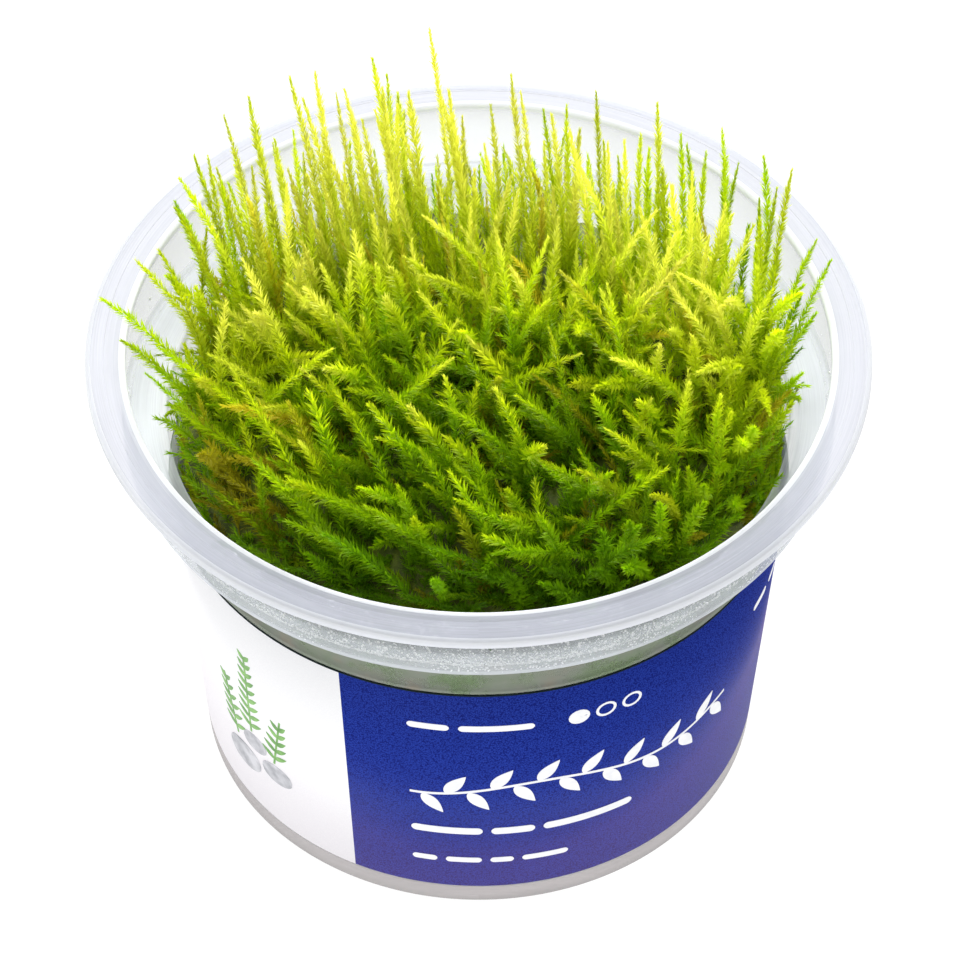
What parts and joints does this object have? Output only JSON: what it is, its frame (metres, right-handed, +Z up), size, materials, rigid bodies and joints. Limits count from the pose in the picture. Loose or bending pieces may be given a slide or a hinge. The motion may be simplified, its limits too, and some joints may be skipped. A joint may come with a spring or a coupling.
{
  "type": "tissue culture spiky moss in a cup",
  "caption": "Cushion of spiky aquatic moss growing on nutrient gel in a stepped, clear plastic tissue-culture cup with a flat snap rim and a printed wrap label; open at the top.",
  "frame": {"origin": "centre of the underside of the cup's foot, on the surface it stands on", "axes": "+Z up along the cup's axis, -Y towards the front where the blue panel of the label shows, +X to its right"},
  "size_m": [0.095, 0.095, 0.0851],
  "materials": {
    "clear_polypropylene": "milky translucent moulded polypropylene, satin outside",
    "printed_label": "blue and white printed film, semi-gloss, fine print screen",
    "agar_gel": "set nutrient agar, pale beige and cloudy",
    "moss": "fresh moss leaves, yellow-green tips over deep green and brown"
  },
  "bodies": {
    "root": {"cup": "clear_polypropylene", "label": "printed_label", "nutrient_gel": "agar_gel", "moss": "moss"}
  },
  "joints": []
}
